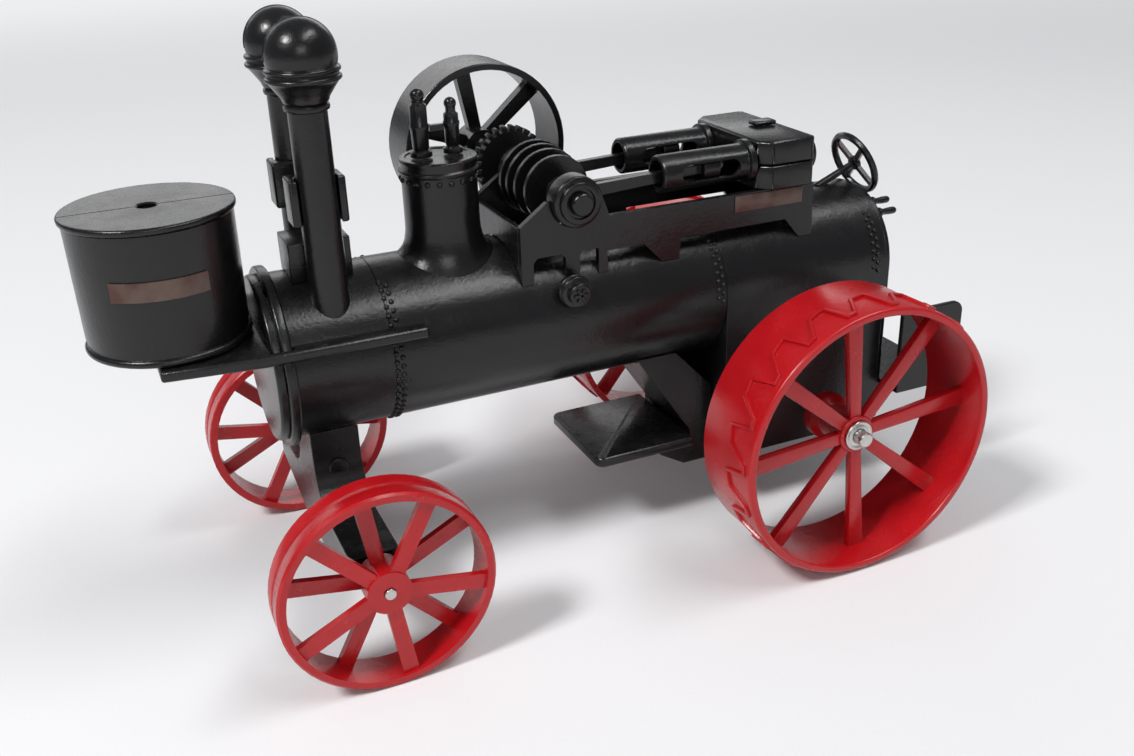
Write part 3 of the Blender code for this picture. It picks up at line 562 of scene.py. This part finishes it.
# %% Chimneys
BALL_HEIGHT = 194.1
BALL = 11.05
RIB = 0.8
BALL_SEAM = 0.28
shaft = [(0, 108.0), (6.5, 108.0), (6.2, 150.0), (6.1, 177.6)]
neck_ring = [(6.9, 178.1), (7.1, 178.9), (6.9, 179.7), (6.4, 180.0)]
cone = [(7.0, 180.6), (7.2, 181.2), (7.4, 181.8), (8.4, 183.2), (9.8, 185.2), (10.9, 186.6)]
ribs = (
    bow((10.9, 187.5), RIB, -80, 80, 5)
    + [(10.9, 188.7), (10.9, 189.2)]
    + bow((10.8, 190.0), RIB, -80, 80, 5)
    + [(10.6, 191.1)]
)
ball = bow((0, BALL_HEIGHT), BALL, -12, 90, 22)
for side, sign in SIDES:
    node = "chimney_" + side
    place = middle(node)
    bm = spun(shaft + neck_ring + cone + ribs + ball, (place.x, place.y, 0))
    ring = bow((BALL - 0.05, 0), BALL_SEAM, -180, 144, 9)
    seam = spun(ring, (place.x, place.y, BALL_HEIGHT * MM), "Y")
    keep_beyond(seam, (0, 0, (BALL_HEIGHT - 1.0) * MM), (0, 0, 1))
    join(bm, seam)
    make(node + "_stack", bm, "chassis", replaces=(node,))

# %% [markdown]
# ## Steam dome
# The dome grows out of the barrel with a smooth flare. A turned flare would stand off a round
# barrel at the sides, so its low rings are let down to follow the barrel's curve.

# %% Dome
DOME = 12.9
DOME_RIVETS = 20
FLARE_TOP = 14 * MM
dome = middle("steam_dome")
base = boiler_top / MM
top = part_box("steam_dome")[1].z / MM
flare = [(0, base - 6), (19.0, base - 3.0), (17.6, base - 0.6), (16.0, base + 0.5)]
flare += [(14.6, base + 2.0), (13.6, base + 4.2), (13.0, base + 7.5), (DOME, base + 12.0)]
flange = [(DOME, top - 5.4), (13.5, top - 5.1)] + bow((13.1, top - 4.3), 0.7, -60, 60, 4)
cap = [(13.0, top - 3.3), (13.2, top - 1.4)] + bow((12.6, top - 0.8), 0.8, 0, 90, 4)
cap += [(11.2, top), (10.8, top - 0.4), (0, top - 0.4)]
bm = spun(flare + flange + cap, (dome.x, 0, 0), steps=96)
for vert in bm.verts:
    follow = min(max((boiler_top + FLARE_TOP - vert.co.z) / FLARE_TOP, 0.0), 1.0)
    fall = boiler_radius - sqrt(max(boiler_radius**2 - vert.co.y**2, 0.0))
    vert.co.z -= follow * fall
for number in range(DOME_RIVETS):
    angle = 2 * pi * number / DOME_RIVETS
    out = Vector((cos(angle), sin(angle), 0))
    stud(bm, Vector((dome.x, 0, (top - 7.0) * MM)) + out * DOME * MM, out, 1.0 * MM, 0.9 * MM)
make("steam_dome_casting", bm, "chassis", replaces=("steam_dome",))

# %% [markdown]
# ## Safety valves
# Two valves of different height stand on the dome: a foot, a stem with a collar, a neck and a round
# knob. One profile is drawn for both, from each valve's own radii.

# %% Safety valves
valves = (  # node, stem radius, knob radius
    ("safety_valve_front", 3.0, 3.1),
    ("safety_valve_back", 2.6, 2.7),
)
for node, stem, knob in valves:
    place = middle(node)
    low, high = (corner.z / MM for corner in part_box(node))
    foot = [(0, low), (stem + 0.7, low), (stem + 0.7, low + 1.6), (stem - 0.5, low + 2.3)]
    body = [(stem - 0.2, low + 3.0), (stem, low + 9.0)]
    collar = [(stem + 0.2, low + 9.5), (stem + 0.2, low + 10.4), (stem - 0.1, low + 10.8)]
    neck = [(stem - 0.1, high - 5.4), (stem - 0.9, high - 4.8), (stem - 0.9, high - 4.0)]
    head = bow((0.0, high - knob * 0.75), knob * 0.78, -35, 90, 9)
    bm = spun(foot + body + collar + neck + head, (place.x, place.y, 0), steps=40)
    make(node + "_turned", bm, "chassis", replaces=(node,))

# %% [markdown]
# ## Crankshaft bearings
# A bearing is a stepped ring with a recess round the shaft's end. Its steps could be three rings,
# but one turned profile keeps the inner corners closed.

# %% Bearings
SHAFT_BORE = 4.15
for side, sign in SIDES:
    node = "crank_bearing_" + side
    width = half(node, Y) / MM
    radius = half(node, Z) / MM
    back = [(SHAFT_BORE, -width), (radius - 0.8, -width), (radius, -width + 0.8)]
    outer_step = bow((radius - 0.9, width - 2.7), 0.9, 0, 80, 4)
    inner_step = [(radius - 1.6, width - 1.6), (radius - 1.7, width - 0.6)]
    inner_step += bow((radius - 2.3, width - 0.6), 0.6, 0, 90, 3)
    recess = [(5.4, width), (5.2, width - 0.9), (SHAFT_BORE, width - 0.9)]
    profile = to_side(back + outer_step + inner_step + recess, sign)
    make(node + "_ring", spun(profile, middle(node), "Y", 64), "chassis", replaces=(node,))

# %% [markdown]
# ## Crank gear
# The gear turns with the crankshaft. Its teeth are small bars set round a plain ring, sized so that
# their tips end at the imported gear's radius.

# %% Gear
TEETH = 26
TOOTH = 1.9
TOOTH_WIDTH = 1.5
TOOTH_ROOT = 1.0  # how far a tooth runs into the ring
GEAR_BORE = 4.3
gear = middle("crank_gear")
gear_half = half("crank_gear", Y) / MM
gear_radius = half("crank_gear", Z) / MM
root = gear_radius - TOOTH
ring = [(GEAR_BORE, -gear_half), (root, -gear_half), (root, gear_half), (GEAR_BORE, gear_half)]
teeth = spun(ring, gear, "Y")
out = Matrix.Translation(((gear_radius - (TOOTH + TOOTH_ROOT) / 2) * MM, 0, 0))
for number in range(TEETH):
    spin = Matrix.Rotation(2 * pi * number / TEETH, 4, "Y")
    size = (TOOTH + TOOTH_ROOT, gear_half * 2 - 0.1, TOOTH_WIDTH)
    join(teeth, bar(size, Matrix.Translation(gear) @ spin @ out, 0.2))
make("crank_gear_toothed", teeth, "crank", replaces=("crank_gear",))

# %% [markdown]
# ## Feed valves
# Below each bearing a feed valve stands out of the bed: two round collars and a nut with a star
# pressed into its face. Three crossed bars make the star's six points.

# %% Feed valves
STEM = 3.6
NUT = 4.0
STAR_BAR = (5.4, 1.3, 1.1)
for side, sign in SIDES:
    node = "feed_valve_" + side
    place = middle(node)
    base, face = outward_span(node)
    stem = [(0, base), (STEM, base), (STEM, 26.7)]
    collars = bow((5.0, 27.6), 0.8, -90, 90, 5) + [(4.6, 28.6)] + bow((4.9, 29.6), 0.7, -90, 90, 5)
    nut = [(NUT, 30.6), (NUT, face - 1.6)] + bow((NUT - 0.7, face - 1.6), 0.7, 0, 90, 4)
    profile = to_side(stem + collars + nut + [(0, face - 0.9)], sign)
    bm = spun(profile, (place.x, 0, place.z), "Y", 48)
    centre = Matrix.Translation((place.x, sign * (face - 0.7) * MM, place.z))
    for number in range(3):
        join(bm, bar(STAR_BAR, centre @ Matrix.Rotation(pi * number / 3, 4, "Y"), 0.2))
    make(node + "_turned", bm, "chassis", replaces=(node,))

# %% [markdown]
# ## Front pedestal bosses
# A round boss stands on each side of the column where the casting's two halves are pinned.

# %% Bosses
BOSS = 3.6
BOSS_HEIGHT = 53.2 * MM
boss = [(0, 10.6), (BOSS, 10.6), (BOSS, 12.0)] + bow((BOSS - 0.6, 12.0), 0.6, 0, 90, 3) + [(0, 12.6)]
pedestal = middle("front_pedestal")
bosses = bmesh.new()
for side, sign in SIDES:
    join(bosses, spun(to_side(boss, sign), (pedestal.x, 0, BOSS_HEIGHT), "Y", 40))
make("pedestal_bosses", bosses, "chassis")

# %% [markdown]
# ## The rear wheels' tread
# The driving wheels have a raised zig-zag round the tread that bites into soft ground. It could be a
# bump in the paint, but it shows on the rim's outline, so it is real: short bars are laid out flat
# and rolled round the wheel. The rim is spun a little smaller, so that the bars end at the packed
# wheel's radius.

# %% Tread
TREAD_DEPTH = 1.05
TREAD_BAR = 1.30
PERIODS = 19
wave = (  # share of a period, distance from the middle plane
    (0.000, 80.6),
    (0.175, 80.2),
    (0.470, 70.8),
    (0.840, 69.6),
)


def wrap(bm, centre, radius, sign):
    """Rolls a flat strip round a wheel: x is the way round, y the distance out, z the height."""
    for vert in bm.verts:
        angle = vert.co.x / radius
        reach = radius + vert.co.z
        vert.co = Vector((centre.x + reach * cos(angle), sign * vert.co.y, centre.z + reach * sin(angle)))


def tread(centre, radius, sign):
    points = [((n + share) * 2 * pi / PERIODS, out) for n in range(PERIODS) for share, out in wave]
    points.append((2 * pi, wave[0][1]))
    strip = bmesh.new()
    for (first, near), (last, far) in zip(points, points[1:]):
        start = Vector((first * radius, near * MM, 0))
        end = Vector((last * radius, far * MM, 0))
        run = end - start
        lie = Vector((1, 0, 0)).rotation_difference(run).to_matrix().to_4x4()
        size = (run.length / MM + 1.2, TREAD_BAR, TREAD_DEPTH * 2)
        join(strip, bar(size, Matrix.Translation((start + end) / 2) @ lie, 0.30, cuts=3))
    wrap(strip, centre, radius, sign)
    return strip


print("tread bars on a wheel:", PERIODS * len(wave))

# %% [markdown]
# ## Rear wheels
# A wheel is a turned rim, a turned hub with a hollow inner end, and eight flat spokes near the
# outer face that widen towards the rim. The spokes are stretched bars, tapered by scaling each end.

# %% Rim, hub and spokes
RIM_WALL = 2.9
HUB_FACE = 74.5
PIN_BORE = 2.95
SPOKES = 8
SPOKE_TURN = radians(-5)
SPOKE_START = 5.6
SPOKE_SIZE = (3.2, 5.6)  # thickness along the axle, width
SPOKE_TAPER = 0.18


def rear_rim(radius, inner, outer):
    inside = radius - RIM_WALL
    back = [(inside + 0.5, inner), (radius - 0.9, inner)]
    back += bow((radius - 0.7, inner + 0.7), 0.7, -90, 0, 3)
    front = bow((radius - 1.1, outer - 1.1), 1.1, 0, 80, 4)
    front += bow((inside + 0.7, outer - 0.7), 0.7, 90, 180, 3)
    web = [(inside - 0.3, HUB_FACE + 0.4), (inside - 0.3, HUB_FACE - 3.6)]
    return back + front + web


def rear_hub(inner):
    socket = [(PIN_BORE, inner + 0.6), (4.6, inner + 0.6), (5.0, inner + 2.4), (7.3, inner + 2.4)]
    cup = [(7.5, inner + 0.5), (8.6, inner + 0.5), (8.8, inner + 1.0), (8.8, inner + 5.0)]
    waist = [(6.6, inner + 7.5), (6.4, HUB_FACE - 4.0), (7.2, HUB_FACE - 3.2)]
    face = bow((6.5, HUB_FACE - 0.7), 0.7, 0, 90, 4) + [(PIN_BORE, HUB_FACE)]
    return socket + cup + waist + face


def spoke(number, reach, centre, sign):
    bm = bar((reach, *SPOKE_SIZE), Matrix.Identity(4), 0.55)
    for vert in bm.verts:
        vert.co.z *= 1 + SPOKE_TAPER * vert.co.x / (reach / 2 * MM)
    spin = Matrix.Rotation(-SPOKE_TURN - 2 * pi * number / SPOKES, 4, "Y")
    out = Matrix.Translation(((SPOKE_START + reach / 2) * MM, sign * (HUB_FACE - 2.3) * MM, 0))
    bmesh.ops.transform(bm, matrix=Matrix.Translation(centre) @ spin @ out, verts=bm.verts)
    return bm


# %% [markdown]
# The four shapes of a wheel are joined into one mesh, which rides on the wheel's own body so that
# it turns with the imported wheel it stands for.

# %% Rear wheels
for side, sign in SIDES:
    node = "rear_wheel_" + side
    inner, outer = outward_span(node)
    radius = half(node, Z) / MM - TREAD_DEPTH
    centre = Vector((middle(node).x, 0, middle(node).z))
    bm = spun(to_side(rear_rim(radius, inner, outer), sign), centre, "Y", 144)
    join(bm, spun(to_side(rear_hub(inner), sign), centre, "Y", 64))
    reach = radius - RIM_WALL + 0.6 - SPOKE_START
    for number in range(SPOKES):
        join(bm, spoke(number, reach, centre, sign))
    join(bm, tread(centre, radius * MM, sign))
    make(node + "_painted", bm, node, slot="red_paint", replaces=(node,))

# %% [markdown]
# ## Push nuts
# The push nuts that hold the rear wheels are pressed spring washers, dished with a raised rim. They
# stay on the fixed axle, so they ride on the chassis and not on the wheel.

# %% Push nuts
for side, sign in SIDES:
    node = "push_nut_" + side
    place = middle(node)
    base = outward_span(node)[0]
    radius = half(node, Z) / MM
    rim = [(PIN_BORE, base), (radius - 0.3, base)] + bow((radius - 0.5, base + 0.5), 0.5, -60, 110, 6)
    dish = [(radius - 1.5, base + 0.6), (4.2, base + 0.6), (3.4, base + 1.0), (PIN_BORE, base + 1.0)]
    bm = spun(to_side(rim + dish, sign), (place.x, 0, place.z), "Y", 48)
    make(node + "_dished", bm, "chassis", slot="bare_steel", replaces=(node,))

# %% [markdown]
# ## Castings with soft edges
# Castings never have knife edges: the mould's corners are rounded and the paint rounds them again.
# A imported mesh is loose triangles, so its copy is merged first and its flat areas are dissolved
# into whole faces. Then a narrow bevel runs along the creases. A subdivision surface would round
# more, but it would also pull the flat walls out of true.

# %% Soften a casting
CREASE = radians(38)
FLAT = radians(1.0)
PLAIN_EDGE = 0.20
edge_widths = {  # start of a node's name, bevel
    "bed_side": 0.45,
    "bed_wall": 0.40,
    "cylinder_block": 0.75,
    "valve_chest": 0.75,
    "chest_cap": 0.45,
    "front_pedestal": 0.80,
    "chimney_bracket": 0.55,
    "chimney_saddle": 0.60,
    "step": 0.55,
    "footplate": 0.45,
    "platform_deck": 0.50,
    "firebox": 0.50,
    "backhead": 0.60,
    "connecting_rod": 0.40,
    "crosshead_guide": 0.45,
    "front_wheel": 0.40,
    "flywheel": 0.40,
    "crankshaft": 0.25,
}


def bevel_width(node):
    return next((width for start, width in edge_widths.items() if node.startswith(start)), PLAIN_EDGE)


def body_of(node):
    bodies = frame["record"]["behaviour"]["bodies"]
    return next(body for body, nodes in bodies.items() if node in nodes)


def soft_copy(node):
    bm = bmesh.new()
    bm.from_mesh(frame["nodes"][node].data)
    bmesh.ops.remove_doubles(bm, verts=bm.verts, dist=1e-6)
    bmesh.ops.dissolve_limit(bm, angle_limit=FLAT, verts=bm.verts, edges=bm.edges)
    piece = make(node + "_cast", bm, body_of(node), slot=slot_of[node], replaces=(node,), sharp=38)
    edge = piece.modifiers.new("soft_edges", "BEVEL")
    edge.width = bevel_width(node) * MM
    edge.segments = 2
    edge.limit_method = "ANGLE"
    edge.angle_limit = CREASE
    edge.harden_normals = True


# %% [markdown]
# Everything that hasn't been rebuilt above now gets its soft-edged copy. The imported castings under
# the new pieces take their paint too, so that each slot looks alike wherever it is used.

# %% Remaining castings
REBUILT = {"front_tank", "tank_lid", "steam_dome", "crank_gear"}
REBUILT |= {node for node, shape in drums}
REBUILT |= {node for node, stem, knob in valves}
twins = ("chimney_", "crank_bearing_", "feed_valve_", "rear_wheel_", "push_nut_")
REBUILT |= {start + side for start in twins for side, sign in SIDES}
for name, node in frame["nodes"].items():
    node.data.materials.clear()
    node.data.materials.append(SLOTS[slot_of[name]])
    if name not in REBUILT:
        soft_copy(name)
print("softened", len(frame["nodes"]) - len(REBUILT), "castings")

# %% [markdown]
# ## Floor
# The toy stands on a pale cloth. The lamps fall off with distance, so the cloth's far end would go
# grey. There it glows a little, for the camera's rays only: the toy's light and its shadow on the
# cloth stay as they are.


# %% Floor
FLOOR_SIZE = 6.0
GLOW_START, GLOW_FULL = 1.0, 3.6  # metres from the toy


def floor_finish():
    cloth = Finish("pale_floor")
    weave = cloth.noise(1400.0, 2.0)
    colour = cloth.mix(weave, (0.74, 0.74, 0.75), (0.80, 0.80, 0.81))
    away = cloth.node("ShaderNodeVectorMath", {"operation": "LENGTH"}, {0: cloth.place}, "Value")
    seen = cloth.node("ShaderNodeLightPath", {}, {}, "Is Camera Ray")
    glow = cloth.band(away, GLOW_START, GLOW_FULL) * seen
    pale = cloth.mix(glow, (0.0, 0.0, 0.0), (0.60, 0.60, 0.61))
    return cloth.set(Base_Color=colour, Roughness=0.85, Emission_Color=pale, Emission_Strength=1.0)


cloth_bm = bmesh.new()
bmesh.ops.create_grid(cloth_bm, x_segments=1, y_segments=1, size=FLOOR_SIZE)
cloth_mesh = bpy.data.meshes.new("floor")
cloth_bm.to_mesh(cloth_mesh)
cloth_bm.free()
cloth_mesh.materials.append(floor_finish())
floor = bpy.data.objects.new("floor", cloth_mesh)
bpy.context.scene.collection.objects.link(floor)
print("floor half width", FLOOR_SIZE)

# %% [markdown]
# ## Sky
# The world gives the toy a weak, even light. The camera sees the same sky brighter, so that an
# angle that looks past the cloth still has a pale background.

# %% Sky
SKY_LIGHT = 0.24
SKY_SEEN = 0.42


class Sky(Finish):
    """The world's background, built with the same calls as a paint."""

    def __init__(self, world):
        self.material = world
        self.tree = world.node_tree
        self.shader = self.tree.nodes["Background"]


world = bpy.data.worlds.new("studio")
bpy.context.scene.world = world
world.use_nodes = True
sky = Sky(world)
seen = sky.node("ShaderNodeLightPath", {}, {}, "Is Camera Ray")
sky.set(Color=(0.93, 0.95, 1.0, 1.0), Strength=seen * SKY_SEEN + SKY_LIGHT)
print("sky light", SKY_LIGHT)

# %% [markdown]
# ## Lamps
# Four softboxes light the toy. The key stands in front of it on its left and throws the shadows
# back. The ceiling strip draws the long highlight on the boiler, the window lifts the near side,
# and the wall behind is what the lid and the block's top mirror.

# %% Lamps
AIM = Vector((0, 0, 0.05))
lamps = (  # name, place, width and height, power
    ("key", (1.5, 0.5, 1.9), (0.45, 0.45), 42.0),
    ("ceiling", (-0.9, 0.7, 2.3), (1.8, 0.5), 26.0),
    ("window", (0.3, 2.2, 1.1), (1.0, 0.7), 8.0),
    ("wall", (-0.3, -2.2, 0.95), (2.8, 0.9), 11.0),
)
for name, place, size, power in lamps:
    lamp = bpy.data.lights.new(name, "AREA")
    lamp.shape = "RECTANGLE"
    lamp.size, lamp.size_y = size
    lamp.energy = power
    holder = bpy.data.objects.new(name, lamp)
    bpy.context.scene.collection.objects.link(holder)
    holder.location = place
    holder.rotation_euler = (AIM - Vector(place)).to_track_quat("-Z", "Y").to_euler()
print("lamps:", [name for name, *rest in lamps])

# %% [markdown]
# ## Camera
# The camera stands near the toy's front left corner, a little above it, and leans by under two
# degrees, as a hand-held one does. It is close, so the near wheels look larger than the far ones:
# a longer lens from further off would flatten them.

# %% Camera
CAMERA_PLACE = Vector((0.1592, 0.3718, 0.2505))
CAMERA_AIM = Vector((-0.0041, 0.0, 0.0621))
CAMERA_ROLL = radians(-1.86)
CAMERA_LENS = 37.0
SENSOR = 36.0

forward = (CAMERA_AIM - CAMERA_PLACE).normalized()
level = forward.cross(Vector((0, 0, 1))).normalized()
right = cos(CAMERA_ROLL) * level + sin(CAMERA_ROLL) * level.cross(forward)
up = right.cross(forward)
lens = bpy.data.cameras.new("camera")
lens.lens = CAMERA_LENS
lens.sensor_width = SENSOR
lens.clip_start = 0.01
camera = bpy.data.objects.new("camera", lens)
bpy.context.scene.collection.objects.link(camera)
facing = Matrix((right, up, -forward)).transposed()
camera.matrix_world = Matrix.Translation(CAMERA_PLACE) @ facing.to_4x4()
bpy.context.scene.camera = camera
bpy.context.scene.view_settings.view_transform = "Standard"
print("camera distance", round((CAMERA_AIM - CAMERA_PLACE).length, 3))
